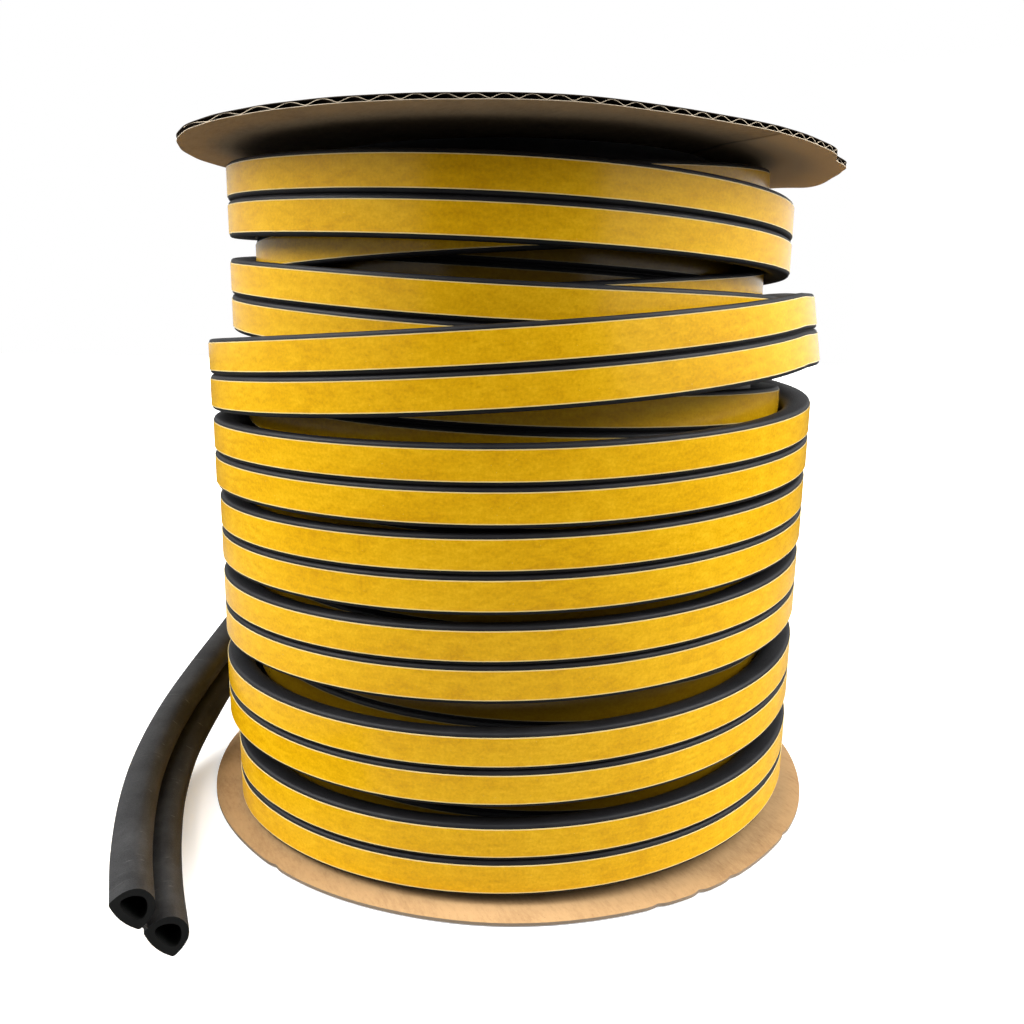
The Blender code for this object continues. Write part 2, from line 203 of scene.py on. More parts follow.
# Light: how bright the studio is all round, low down, high up at each side and overhead.
# Pairs are where a change begins and ends, as a part of a unit direction.
ROUND_LIGHT = 0.25
LOW_LIGHT = 0.8
LOW_LEFT = 0.4
LOW_HEIGHTS = (0.30, 0.20)
LOW_SIDES = (-0.4, 0.4)
SIDE_LIGHT = 17.0
SIDE_BEHIND = 0.25
SIDE_TIGHTNESS = 10.0
SIDE_HEIGHTS = (0.20, 0.48)
SIDE_TOPS = (0.88, 1.0)
SIDE_DEPTHS = (-0.15, 0.25)
TOP_LIGHT = 0.7
FRONT_EDGES = (-0.84, -0.80)
FRONT_SHARE = 0.05

# Floor
FLOOR_SIZE = 3.0
FLOOR_DROP = 0.0002
FLOOR_SHOWN = 0.92
FLOOR_GLOW = 0.3
NEAR_BOUNCE = 0.20
FAR_BOUNCE = 0.04
BOUNCE_REACH = (0.35, 0.60)

# Colours. A painted shade gives where along the strip the paper begins and ends to be painted darker, for
# the shade on turns deep in the gaps, and what is left of its colour.
PAPER_TONES = ((0.38, (0.66, 0.33, 0.002)), (0.50, (0.80, 0.43, 0.003)), (0.62, (0.92, 0.54, 0.012)))
PAPER_SPECK = (0.95, 0.80, 0.35)
PAPER_EDGE = (0.95, 0.80, 0.42)
PAPER_SHADE = (0.004, 0.003, 0.001)
NO_PAINTED_SHADE = (0, 1, 1)
# Painted shade on the liner of the third and second layers: painted darker from 2 m to 4.8 m along the
# strip, down to 0.22 of its colour, for the shade deep in the lower gaps.
COVERED_PAINTED_SHADE = (2.0, 4.8, 0.22)
# Painted shade on the fourth layer's liner: painted darker all along, to 0.30 of its colour, for the shade
# under the top board.
DEEP_PAINTED_SHADE = (-0.01, 0.0, 0.30)
RUBBER_TINT = (0.008, 0.008, 0.009)
HANDLED_TINT = (0.013, 0.013, 0.0135)
# Near-black for the cut ends, and painted shade on the walls inside the loose end's hollow.
CUT_AND_HOLLOW_SHADE_TINT = (0.0020, 0.0022, 0.0020)
HANDLED_DUST = 0.16
SMEAR = (0.13, 0.13, 0.13)
DUST_SPECK = (0.28, 0.28, 0.27)
SCUFF = (0.30, 0.30, 0.29)
KRAFT_TOP = ((0.40, 0.285, 0.165), (0.32, 0.22, 0.125))
KRAFT_BOTTOM = ((0.38, 0.235, 0.108), (0.29, 0.172, 0.077))
CUT_EDGE = (0.72, 0.60, 0.44)
# Painted shade for the inside of the top board and its wavy sheet, where shadow falls between the facings.
BOARD_INSIDE_SHADE = (0.060, 0.042, 0.028)
WORN_EDGE = (0.30, 0.23, 0.16)
TUBE_TONES = ((0.35, (0.30, 0.19, 0.10)), (0.5, (0.42, 0.28, 0.15)), (0.65, (0.50, 0.34, 0.19)))
TUBE_SEAM = (0.12, 0.07, 0.04)
SEAM_PITCH = 0.11


class Nodes:
    """Short way to lay out the nodes of a material or a world."""

    def __init__(self, owner):
        self.owner = owner
        owner.use_nodes = True
        self.tree = owner.node_tree
        self.shader = self.tree.nodes.get("Principled BSDF") or self.tree.nodes["Background"]

    def add(self, kind, inputs=None, **settings):
        node = self.tree.nodes.new(kind)
        for key, value in settings.items():
            setattr(node, key, value)
        for key, value in (inputs or {}).items():
            self.put(node.inputs[key], value)
        return node

    def put(self, socket, value):
        if hasattr(value, "links"):
            self.tree.links.new(value, socket)
        else:
            socket.default_value = value

    def set(self, **inputs):
        for key, value in inputs.items():
            self.put(self.shader.inputs[key.replace("_", " ")], value)

    def noise(self, vector, scale, detail=4, rough=0.55):
        node = self.add(
            "ShaderNodeTexNoise", {"Vector": vector, "Scale": scale, "Detail": detail, "Roughness": rough}
        )
        return node.outputs["Fac"]

    def ramp(self, value, stops):
        node = self.add("ShaderNodeValToRGB", {"Fac": value})
        band = node.color_ramp
        band.elements[0].position, band.elements[0].color = stops[0][0], (*stops[0][1], 1)
        band.elements[1].position, band.elements[1].color = stops[-1][0], (*stops[-1][1], 1)
        for place, colour in stops[1:-1]:
            band.elements.new(place).color = (*colour, 1)
        return node.outputs["Color"]

    def level(self, value, low, high, to_low=0, to_high=1):
        node = self.add("ShaderNodeMapRange", {
            "Value": value, "From Min": low, "From Max": high, "To Min": to_low, "To Max": to_high,
        })
        return node.outputs["Result"]

    def mix(self, factor, first, second):
        node = self.add("ShaderNodeMix", data_type="RGBA")
        self.put(node.inputs[0], factor)
        self.put(node.inputs[6], first if hasattr(first, "links") else (*first, 1))
        self.put(node.inputs[7], second if hasattr(second, "links") else (*second, 1))
        return node.outputs[2]

    def math(self, operation, first, second=0.0):
        node = self.add("ShaderNodeMath", operation=operation)
        self.put(node.inputs[0], first)
        self.put(node.inputs[1], second)
        return node.outputs[0]

    def bump(self, height, strength, distance):
        node = self.add("ShaderNodeBump", {"Height": height, "Strength": strength, "Distance": distance})
        self.put(self.shader.inputs["Normal"], node.outputs["Normal"])

    def mapped(self, vector, scale=(1, 1, 1), rotation=(0, 0, 0)):
        node = self.add("ShaderNodeMapping", {"Vector": vector, "Scale": scale, "Rotation": rotation})
        return node.outputs["Vector"]

    def object_space(self, scale=(1, 1, 1), rotation=(0, 0, 0)):
        return self.mapped(self.add("ShaderNodeTexCoord").outputs["Object"], scale, rotation)

    def strip_space(self, scale=(1, 1, 1)):
        return self.mapped(self.add("ShaderNodeTexCoord").outputs["UV"], scale)

    def separated(self, vector):
        return self.add("ShaderNodeSeparateXYZ", {"Vector": vector}).outputs

    def weighed(self, *parts):
        """Sum of values, each times its share."""
        total = None
        for value, share in parts:
            part = self.math("MULTIPLY", value, share)
            total = part if total is None else self.math("ADD", total, part)
        return total


def times(colour, factor):
    return tuple(c * factor for c in colour)


def liner_material(name, painted_shade=NO_PAINTED_SHADE):
    """Waxed yellow liner paper: mottled grain, cut edges of a pale cream, satin gloss."""
    m = Nodes(bpy.data.materials.new(name))
    place = m.strip_space()
    grain = m.noise(place, 900, 4, 0.7)
    fibres = m.noise(m.strip_space((0.4, 1, 1)), 380, 4, 0.6)
    patches = m.noise(m.strip_space((0.35, 1, 1)), 60, 3, 0.5)
    colour = m.ramp(m.weighed((grain, 0.40), (fibres, 0.35), (patches, 0.25)), PAPER_TONES)
    specks = m.level(m.noise(place, 1700, 2, 0.5), 0.74, 0.78, 0, 0.5)
    colour = m.mix(specks, colour, PAPER_SPECK)
    along, across, _ = m.separated(place)
    wander = m.math("MULTIPLY", m.math("SUBTRACT", m.noise(place, 240, 3), 0.5), 0.0003)
    from_middle = m.math("ADD", m.math("ABSOLUTE", across), wander)
    edge = m.level(from_middle, LINER_WIDTH / 2 - 0.00042, LINER_WIDTH / 2 - 0.00018)
    colour = m.mix(m.math("MULTIPLY", edge, 0.75), colour, PAPER_EDGE)
    # Painted shade: the paper is darkened towards PAPER_SHADE along the strip, where its turns lie deep in
    # the gaps.
    begins, ends, left = painted_shade
    colour = m.mix(m.level(along, begins, ends, 0, 1 - left), colour, PAPER_SHADE)
    m.set(Base_Color=colour, Roughness=m.level(grain, 0.3, 0.7, 0.16, 0.23), Specular_IOR_Level=0.30)
    m.bump(grain, 0.10, 0.0002)
    return m.owner


def rubber_material(name, tint, dust=0.0):
    """Sponge rubber with a fine skin, and dust where it has been handled."""
    m = Nodes(bpy.data.materials.new(name))
    place = m.object_space()
    skin = m.noise(place, 2600, 3, 0.6)
    cloud = m.noise(place, 60, 4, 0.6)
    lighter = tuple(c * 1.8 + 0.002 for c in tint)
    colour = m.mix(m.level(cloud, 0.35, 0.75), tint, lighter)
    if dust:
        smears = m.noise(m.strip_space((0.35, 1, 1)), 160, 4, 0.65)
        colour = m.mix(m.level(smears, 0.45, 0.75, 0, dust), colour, SMEAR)
        specks = m.noise(place, 900, 5, 0.75)
        colour = m.mix(m.level(specks, 0.62, 0.74, 0, dust), colour, DUST_SPECK)
        scuffs = m.noise(m.strip_space((1, 0.25, 1)), 700, 3, 0.6)
        colour = m.mix(m.level(scuffs, 0.64, 0.74, 0, 1.5 * dust), colour, SCUFF)
    m.set(Base_Color=colour, Roughness=m.level(skin, 0.3, 0.7, 0.44, 0.62), Specular_IOR_Level=0.20)
    m.bump(skin, 0.25, 0.0002)
    return m.owner


def cardboard_material(name, base, dark, crease_light_and_shade=False):
    """Kraft board: short fibres along the flutes, specks and clouds, painted shade in faint stripes along
    the flutes, and where it is folded, painted light beyond the crease and a painted shade line along it.
    """
    m = Nodes(bpy.data.materials.new(name))
    place = m.object_space()
    turned = m.object_space(rotation=(0, 0, -FLUTE_ANGLE))
    fibres = m.noise(m.mapped(turned, (1, 0.30, 1)), 700, 5, 0.7)
    # Painted shade: faint stripes about a flute apart along the flutes, for the shading of the facing's
    # washboard.
    flutes = m.noise(m.mapped(turned, (1, 0.06, 1)), 130, 2)
    specks = m.noise(place, 1500, 2, 0.5)
    cloud = m.noise(place, 45, 4, 0.6)
    tone = m.weighed((fibres, 0.50), (cloud, 0.40), (flutes, 0.10))
    colour = m.ramp(tone, ((0.36, dark), (0.52, base), (0.68, times(base, 1.12))))
    colour = m.mix(m.level(specks, 0.68, 0.74, 0, 0.5), colour, times(dark, 0.45))
    colour = m.mix(m.level(specks, 0.30, 0.24, 0, 0.35), colour, times(base, 1.5))
    if crease_light_and_shade:
        # Painted light beyond the crease, where the folded part turns to the light, and painted shade in a
        # thin line along the crease.
        x, y, _ = m.separated(place)
        reach = m.weighed((x, cos(CREASE_DIRECTION)), (y, sin(CREASE_DIRECTION)))
        reach = m.math("SUBTRACT", reach, CREASE_DISTANCE)
        reach = m.math("ADD", reach, m.math("MULTIPLY", m.noise(place, 60, 3), 0.0016))
        colour = m.mix(m.level(reach, -0.0004, 0.0022, 0, 0.9), colour, times(base, 1.35))
        line = m.level(m.math("ABSOLUTE", reach), 0.0003, 0.0011, 0.55, 0)
        colour = m.mix(line, colour, times(dark, 0.35))
    m.set(Base_Color=colour, Roughness=0.86, Specular_IOR_Level=0.25)
    m.bump(fibres, 0.25, 0.0004)
    return m.owner


def plain_material(name, colour):
    m = Nodes(bpy.data.materials.new(name))
    cloud = m.noise(m.object_space(), 300, 3)
    m.set(Base_Color=m.mix(cloud, colour, times(colour, 0.9)), Roughness=0.8, Specular_IOR_Level=0.2)
    return m.owner


def floor_material():
    """White floor that throws back less light than it shows, as a sweep of matte paper would."""
    m = Nodes(bpy.data.materials.new("white_floor"))
    seen = m.add("ShaderNodeLightPath").outputs["Is Camera Ray"]
    away = m.add("ShaderNodeVectorMath", {0: m.object_space()}, operation="LENGTH").outputs["Value"]
    bounce = m.mix(m.level(away, *BOUNCE_REACH), (NEAR_BOUNCE,) * 3, (FAR_BOUNCE,) * 3)
    colour = m.mix(seen, bounce, (FLOOR_SHOWN,) * 3)
    m.set(Base_Color=colour, Roughness=0.9, Specular_IOR_Level=0.0)
    m.set(Emission_Color=(1, 1, 1, 1), Emission_Strength=m.math("MULTIPLY", seen, FLOOR_GLOW))
    return m.owner


def tube_material():
    """Wound kraft tube with the seam of its outer ply as a spiral."""
    m = Nodes(bpy.data.materials.new("kraft_tube"))
    cloud = m.noise(m.object_space((1, 1, 0.4)), 120, 5, 0.65)
    x, y, z = m.separated(m.object_space())
    turn = m.math("DIVIDE", m.math("ARCTAN2", y, x), 2 * pi)
    seam = m.math("FRACT", m.math("ADD", turn, m.math("DIVIDE", z, SEAM_PITCH)))
    colour = m.mix(m.level(seam, 0.990, 0.996, 0, 0.6), m.ramp(cloud, TUBE_TONES), TUBE_SEAM)
    m.set(Base_Color=colour, Roughness=0.85, Specular_IOR_Level=0.2)
    m.bump(cloud, 0.2, 0.0004)
    return m.owner


def mesh_object(name, vertices, faces, materials, uvs=None, slots=None, angle=40):
    mesh = bpy.data.meshes.new(name)
    mesh.from_pydata([tuple(v) for v in vertices], [], faces)
    for material in materials:
        mesh.materials.append(material)
    if uvs is not None:
        layer = mesh.uv_layers.new(name="strip")
        loops = np.array([loop.vertex_index for loop in mesh.loops])
        layer.data.foreach_set("uv", np.asarray(uvs, float)[loops].ravel())
    if slots is not None:
        mesh.polygons.foreach_set("material_index", slots)
    mesh.shade_smooth()
    mesh.set_sharp_from_angle(angle=radians(angle))
    ob = bpy.data.objects.new(name, mesh)
    bpy.context.scene.collection.objects.link(ob)
    return ob


def add_piece(ob, slot, *nodes):
    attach(ob, "root")
    if nodes:
        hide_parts(*nodes)
    return ob


def smoothstep(t):
    t = np.clip(t, 0, 1)
    return t * t * (3 - 2 * t)


def spline(knots, values, at):
    """Monotone cubic through values at rising knots, level beyond both ends."""
    if at <= knots[0]:
        return values[0]
    if at >= knots[-1]:
        return values[-1]
    slopes = [(values[i + 1] - values[i]) / (knots[i + 1] - knots[i]) for i in range(len(knots) - 1)]
    tangents = [slopes[0]]
    for before, after in zip(slopes, slopes[1:]):
        tangents.append(2 * before * after / (before + after) if before * after > 0 else 0)
    tangents.append(slopes[-1])
    i = max(k for k in range(len(knots) - 1) if knots[k] <= at)
    span = knots[i + 1] - knots[i]
    t = (at - knots[i]) / span
    return (
        (2 * t**3 - 3 * t**2 + 1) * values[i]
        + (t**3 - 2 * t**2 + t) * span * tangents[i]
        + (3 * t**2 - 2 * t**3) * values[i + 1]
        + (t**3 - t**2) * span * tangents[i + 1]
    )


def looked_up(table, at):
    """Spline through a table of knots and values."""
    knots, values = zip(*table)
    return spline(knots, values, at)


def polar(angle, radius, height):
    return np.array([radius * cos(radians(angle)), radius * sin(radians(angle)), height])


def route_frames(points, leans=None):
    """Points of a route, its outward and across directions there, and the distance run."""
    points = np.asarray(points)
    along = np.gradient(points, axis=0)
    along /= np.linalg.norm(along, axis=1)[:, None]
    out = np.cross(along, [0, 0, 1.0])
    out /= np.linalg.norm(out, axis=1)[:, None]
    across = np.cross(out, along)
    lean = np.radians(np.zeros(len(points)) if leans is None else np.asarray(leans, float))[:, None]
    leant_out = np.cos(lean) * out - np.sin(lean) * across
    leant_across = np.cos(lean) * across + np.sin(lean) * out
    run = np.concatenate([[0], np.cumsum(np.linalg.norm(np.diff(points, axis=0), axis=1))])
    return points, leant_out, leant_across, run


def carried(first, last, route, middle=0.0):
    """Vertices of a section that changes into another along a route. UV is metres along and across."""
    points, out, across, run = route
    first, last = np.asarray(first, float), np.asarray(last, float)
    change = smoothstep(run / run[-1])[:, None, None]
    sections = first * (1 - change) + last * change
    x, y = sections[:, :, :1], sections[:, :, 1:]
    vertices = (points[:, None] + x * out[:, None] + y * across[:, None]).reshape(-1, 3)
    uvs = np.stack([np.repeat(run, len(first)), (sections[:, :, 1] - middle).ravel()], 1)
    return vertices, uvs


def swept(section, route, bore=None, middle=0.0, last_section=None, last_bore=None):
    """Closed mesh of a section carried along a route, with a bore of as many points where one is given.

    Where a last section is given, the first one changes into it on the way.
    """
    count, sides = len(route[0]), len(section)
    vertices, uvs = carried(section, last_section or section, route, middle)
    faces = []
    for i in range(count - 1):
        here, after = i * sides, (i + 1) * sides
        for j in range(sides):
            k = (j + 1) % sides
            faces.append((here + j, here + k, after + k, after + j))
    last = (count - 1) * sides
    if bore is None:
        faces.append(tuple(reversed(range(sides))))
        faces.append(tuple(last + j for j in range(sides)))
        return vertices, faces, uvs
    inner_vertices, inner_uvs = carried(bore, last_bore or bore, route, middle)
    first = len(vertices)
    faces += [tuple(first + v for v in reversed(face)) for face in faces]
    for j in range(sides):
        k = (j + 1) % sides
        faces.append((k, j, first + j, first + k))
        faces.append((last + j, last + k, first + last + k, first + last + j))
    return np.concatenate([vertices, inner_vertices]), faces, np.concatenate([uvs, inner_uvs])


def joined(*parts):
    """One mesh of several, each given as vertices, faces and UVs."""
    vertices, faces, uvs, count = [], [], [], 0
    for part_vertices, part_faces, part_uvs in parts:
        vertices.append(part_vertices)
        uvs.append(part_uvs)
        faces += [tuple(v + count for v in face) for face in part_faces]
        count += len(part_vertices)
    return np.concatenate(vertices), faces, np.concatenate(uvs)


def d_corner(width, face, depth):
    """Rounded corner of a D on its upper side, from the edge of the flat face to the widest place."""
    turns = [pi / 2 * k / CORNER_STEPS for k in range(CORNER_STEPS + 1)]
    return [(-depth * (1 - cos(turn)), face / 2 + (width - face) / 2 * sin(turn)) for turn in turns]


def d_arch(width, height, base, power):
    """Round back of one D, from its upper foot to its lower foot, without the feet."""
    points = []
    for k in range(1, ARCH_SEGMENTS):
        t = pi * k / ARCH_SEGMENTS
        across = abs(cos(t)) ** (2 / power) * (1 if cos(t) > 0 else -1)
        points.append((base - height * sin(t) ** (2 / power), across * width / 2))
    return points


def swollen(section, side):
    """A section with the flat face of its D bulged outwards, and the upper one moved off the lower."""
    bulged = []
    for x, y in section:
        place = 2 * (y - side * STRIP_OFFSET) / FACE_WIDTH
        share = max(1 - place * place, 0) * max(1 + 3 * x / STRIP_HEIGHT, 0)
        bulged.append((x + LOOSE_CROWN * share, y + LOOSE_SPREAD * max(side, 0)))
    return bulged


def d_loop(side, inset=0.0, power=D_POWER, parted=False):
    """Closed outline of the upper or lower D, or of its hollow. A parted face has points along it."""
    width, height = STRIP_WIDTH - 2 * inset, STRIP_HEIGHT - 2 * inset
    face = width * HOLLOW_FACE if inset else FACE_WIDTH
    depth = height * HOLLOW_DEPTH if inset else CORNER_DEPTH
    corner = d_corner(width, face, depth)
    arch = d_arch(width, height - depth, -depth, power)
    foot = [(x, -y) for x, y in reversed(corner)]
    flat = [(0, face * share) for share in FACE_PARTS] if inset or parted else []
    points = [(x - inset, y + side * STRIP_OFFSET) for x, y in corner + arch + foot + flat]
    return list(reversed(points))


def twin_section():
    """Outline of both D strips with their web."""
    upper = list(reversed(d_loop(1)))
    lower = list(reversed(d_loop(-1)))
    back = -CORNER_DEPTH - WEB_HEIGHT
    corner = CORNER_STEPS + 1
    split = len(upper) - corner
    web = [(back, WEB_WIDTH / 2), (back, -WEB_WIDTH / 2)]
    run = upper[:split] + web + lower[corner:] + lower[:corner] + upper[split:]
    return list(reversed(run))


def liner_section(side):
    inner, outer = LINER_LIFT, LINER_LIFT + LINER_THICKNESS
    shares = [k / LINER_COLUMNS - 0.5 for k in range(LINER_COLUMNS + 1)]
    front = [(outer, side * STRIP_OFFSET + LINER_WIDTH * share) for share in shares]
    return front + [(inner, y) for _, y in reversed(front)]


def layer_knots(first, gaps, sense):
    """Running angles and web heights of a layer: its first turn, then one gap after another."""
    knots, heights, turn = [], [], list(first)
    for count in range(len(gaps[0]) + 1):
        if count:
            turn = [height + sense * (TWIN_WIDTH + gap[count - 1]) for height, gap in zip(turn, gaps)]
        knots += [place + 360 * count for place in (LEFT_ANGLE, FRONT_ANGLE, RIGHT_ANGLE)]
        heights += turn
    return knots, heights


LOWEST_WEB = BOARD_THICKNESS + CLEARANCE + TWIN_WIDTH / 2
HIGHEST_WEB = TOP_UNDERSIDE - TOP_GAP - TWIN_WIDTH / 2
OUTER_KNOTS = layer_knots(
    [LOWEST_WEB + rise for rise in OUTER_RISES], (OUTER_GAPS_LEFT, OUTER_GAPS_FRONT, OUTER_GAPS_RIGHT), 1
)
UPPER_KNOTS = layer_knots(
    [HIGHEST_WEB - fall for fall in UPPER_FALLS], (UPPER_GAPS_LEFT, UPPER_GAPS_FRONT, UPPER_GAPS_RIGHT), -1
)


def outer_point(angle):
    seated = smoothstep((angle - OUTER_START_ANGLE) / (OUTER_SEATED_ANGLE - OUTER_START_ANGLE))
    radius = UPPER_FACE + LAYER_STEP * seated + looked_up(OUTER_SWELL, angle) - FACE_TO_STRIP
    return polar(angle, radius, spline(*OUTER_KNOTS, angle))


def upper_height(angle):
    if angle < UNDER_END_ANGLE:
        return HIGHEST_WEB - (TWIN_WIDTH + UNDER_GAP) * (UNDER_END_ANGLE - angle) / 360
    knots, heights = UPPER_KNOTS
    return max(spline([UPPER_START_ANGLE] + knots, [HIGHEST_WEB] + heights, angle), LOWEST_WEB)


def bulge(angle):
    """How far the second and third layers stand out, at the same places on each turn."""
    first = BULGE[0][0]
    return looked_up(BULGE, (angle - first) % 360 + first)


def upper_point(angle):
    stepped = smoothstep((angle - STEP_OUT_ANGLE) / (UPPER_START_ANGLE - STEP_OUT_ANGLE))
    out = bulge(angle) if angle < RIGHT_ANGLE + 360 else 0
    radius = INNER_FACE + UNDER_LIFT + (LAYER_STEP - UNDER_LIFT) * stepped + out - FACE_TO_STRIP
    return polar(angle, radius, upper_height(angle))


def deep_point(angle):
    height = DEEP_WEB - DEEP_PITCH * (angle - DEEP_ANGLE) / 360
    return polar(angle, DEEP_FACE - FACE_TO_STRIP, min(height, HIGHEST_WEB))


def outer_lean(angle):
    return looked_up(OUTER_LEANS, angle)


def fine_route(point, start, end, lean=None):
    angles = np.linspace(start, end, int(round((end - start) / FINE_STEP)) + 1)
    leans = [lean(angle) for angle in angles] if lean else None
    return route_frames([point(angle) for angle in angles], leans)


def catmull_rom(points, samples):
    """Smooth curve through points, with so many samples from one to the next."""
    points = [np.asarray(p, float) for p in points]
    full = [2 * points[0] - points[1]] + points + [2 * points[-1] - points[-2]]
    run = []
    for i in range(1, len(full) - 2):
        a, b, c, d = full[i - 1:i + 3]
        for k in range(samples):
            t = k / samples
            square = 2 * a - 5 * b + 4 * c - d
            cube = 3 * b - a - 3 * c + d
            run.append(0.5 * (2 * b + (c - a) * t + square * t**2 + cube * t**3))
    return run + [points[-1]]


def loose_route():
    """Route of the loose end, from where it leaves the winding."""
    starts = (LEAVE_ANGLE - LEAVE_STEP, LEAVE_ANGLE)
    chosen = [np.append(outer_point(angle), outer_lean(angle)) for angle in starts]
    for angle, radius, height, lean in LOOSE_ROUTE:
        chosen.append(np.append(polar(angle, radius, height), lean))
    run = catmull_rom(chosen, LOOSE_SAMPLES)[LOOSE_SAMPLES:]
    return route_frames([p[:3] for p in run], [p[3] for p in run])


def make_liners(stem, nodes, route, paper, swells=False):
    liners = []
    for label, side in (("upper", 1), ("lower", -1)):
        section = liner_section(side)
        last = swollen(section, side) if swells else section
        vertices, faces, uvs = swept(section, route, middle=side * STRIP_OFFSET, last_section=last)
        liner = mesh_object(f"{stem}_{label}", vertices, faces, [paper], uvs)
        liners.append(add_piece(liner, "liner", *[f"{node}_{label}" for node in nodes]))
    return liners


def make_strip(name, nodes, route, rubber):
    vertices, faces, uvs = swept(twin_section(), route)
    return add_piece(mesh_object(name, vertices, faces, [rubber], uvs), "rubber", *nodes)


def loose_strip(route, side):
    """One hollow D of the loose end. Its flat face swells towards the cut, where nothing holds it."""
    whole = d_loop(side, parted=True)
    hollow = d_loop(side, STRIP_WALL, HOLLOW_POWER)
    last = swollen(d_loop(side, power=LOOSE_POWER, parted=True), side)
    return swept(whole, route, hollow, side * STRIP_OFFSET, last, swollen(hollow, side))


def make_loose_end(rubber, cut_and_hollow_shade_rubber, paper):
    """The loose end, hollow along both its strips."""
    route = loose_route()
    back = -CORNER_DEPTH - WEB_HEIGHT
    web = [(back, -WEB_WIDTH), (-CORNER_DEPTH, -WEB_WIDTH), (-CORNER_DEPTH, WEB_WIDTH), (back, WEB_WIDTH)]
    strips = [loose_strip(route, side) for side in (1, -1)]
    web_strip = swept(web, route, last_section=[(x, y + LOOSE_SPREAD * (y > 0)) for x, y in web])
    sides = len(d_loop(1, STRIP_WALL))
    skin = sides * (len(route[0]) - 1)
    # The hollow's inner walls and both ends take the near-black rubber: painted shade inside the hollow.
    slots = ([0] * skin + [1] * (skin + 2 * sides)) * 2 + [0] * len(web_strip[1])
    vertices, faces, uvs = joined(*strips, web_strip)
    tail = mesh_object("seal_loose_end", vertices, faces, [rubber, cut_and_hollow_shade_rubber], uvs, slots)
    add_piece(tail, "rubber", "loose_end")
    short = tuple(part[:-1] for part in route)
    liners = make_liners("liner_loose", ["loose_liner"], short, paper, swells=True)


def make_winding(rubber, paper, covered_paper_painted_shade, deep_paper_painted_shade):
    outer = fine_route(outer_point, OUTER_START_ANGLE, LEAVE_ANGLE, outer_lean)
    make_strip("seal_outer", ["wound_turns"], outer, rubber)
    make_liners("liner_outer", ["wound_liner"], outer, paper)
    upper = fine_route(upper_point, UNDER_END_ANGLE - 360 * UNDER_TURNS, UPPER_END_ANGLE)
    make_strip("seal_upper", ["upper_turns"], upper, rubber)
    # This liner carries painted shade on its turns deep in the lower gaps.
    make_liners("liner_upper", ["upper_liner"], upper, covered_paper_painted_shade)
    deep = fine_route(deep_point, DEEP_START_ANGLE, DEEP_END_ANGLE)
    make_strip("seal_deep", [], deep, rubber)
    # The fourth layer's liner carries painted shade all along.
    make_liners("liner_deep", [], deep, deep_paper_painted_shade)


def turned_mesh(name, profile, sides, materials):
    """Solid turned about Z from a closed profile."""
    vertices, faces = [], []
    count = len(profile)
    for i in range(sides):
        for radius, height in profile:
            vertices.append(polar(360 * i / sides, radius, height))
        for j in range(count):
            k, n = (j + 1) % count, (i + 1) % sides
            faces.append((i * count + j, i * count + k, n * count + k, n * count + j))
    return mesh_object(name, vertices, faces, materials)


def make_core(rubber):
    """Hidden layers under the visible ones: each turn's two backs show as shallow ribs."""
    low, high = BOARD_THICKNESS + CLEARANCE, TOP_UNDERSIDE - CORE_TOP_GAP
    inside = TUBE_RADIUS + CLEARANCE
    shoulder = STRIP_WIDTH * CORE_RIB
    narrow = DEEP_FACE - LAYER_STEP
    profile = [(inside, high), (inside, low)]
    height = low
    while height < high - STRIP_WIDTH:
        radius = INNER_FACE - CLEARANCE if height < CORE_LEDGE else narrow
        top = height + STRIP_WIDTH
        profile += [(radius - CORE_GROOVE, height), (radius, height + shoulder)]
        profile += [(radius, top - shoulder), (radius - CORE_GROOVE, top - CORE_SEAM)]
        height = top
    profile.append((narrow - CORE_GROOVE, high))
    core = turned_mesh("seal_core", profile, CORE_SIDES, [rubber])
    add_piece(core, "rubber", "inner_winding")


def top_under(x, y):
    """Height of the top board's underside: it sags at the front right, beyond a crease."""
    forward = x * cos(SAG_DIRECTION) + y * sin(SAG_DIRECTION)
    sag = SAG * smoothstep((forward - SAG_FROM) / (FLANGE_RADIUS - SAG_FROM))
    reach = x * cos(CREASE_DIRECTION) + y * sin(CREASE_DIRECTION) - CREASE_DISTANCE
    fold = FOLD * max(reach, 0) / (FLANGE_RADIUS - CREASE_DISTANCE)
    turn = (degrees(atan2(y, x)) - FLAP_ANGLE) / FLAP_SPREAD
    flap = FLAP * exp(-turn * turn) * smoothstep((hypot(x, y) - FLAP_FROM) / FLAP_RUN)
    return TOP_UNDERSIDE - sag - fold - flap


def level_under(x, y):
    """Height of the bottom board's underside, which lies flat."""
    return 0.0


def top_rim(angle):
    """Radius of the top board at an angle in degrees, with a torn bit at the right."""
    ripple = sum(height * sin(radians(angle * waves)) for height, waves in TOP_RIPPLES)
    torn = sum(reach * exp(-((angle - place) / spread) ** 2) for place, spread, reach in TORN_BITS)
    return FLANGE_RADIUS + ripple + torn - TOP_TRIM


def bottom_rim(angle):
    """Radius of the bottom board at an angle in degrees, with small dents knocked into it."""
    height, waves = BOTTOM_RIPPLE
    dents = sum(deep * exp(-((angle - place) / DENT_SPREAD) ** 2) for place, deep in RIM_DENTS)
    return FLANGE_RADIUS + height * sin(radians(angle * waves)) - BOTTOM_TRIM - dents


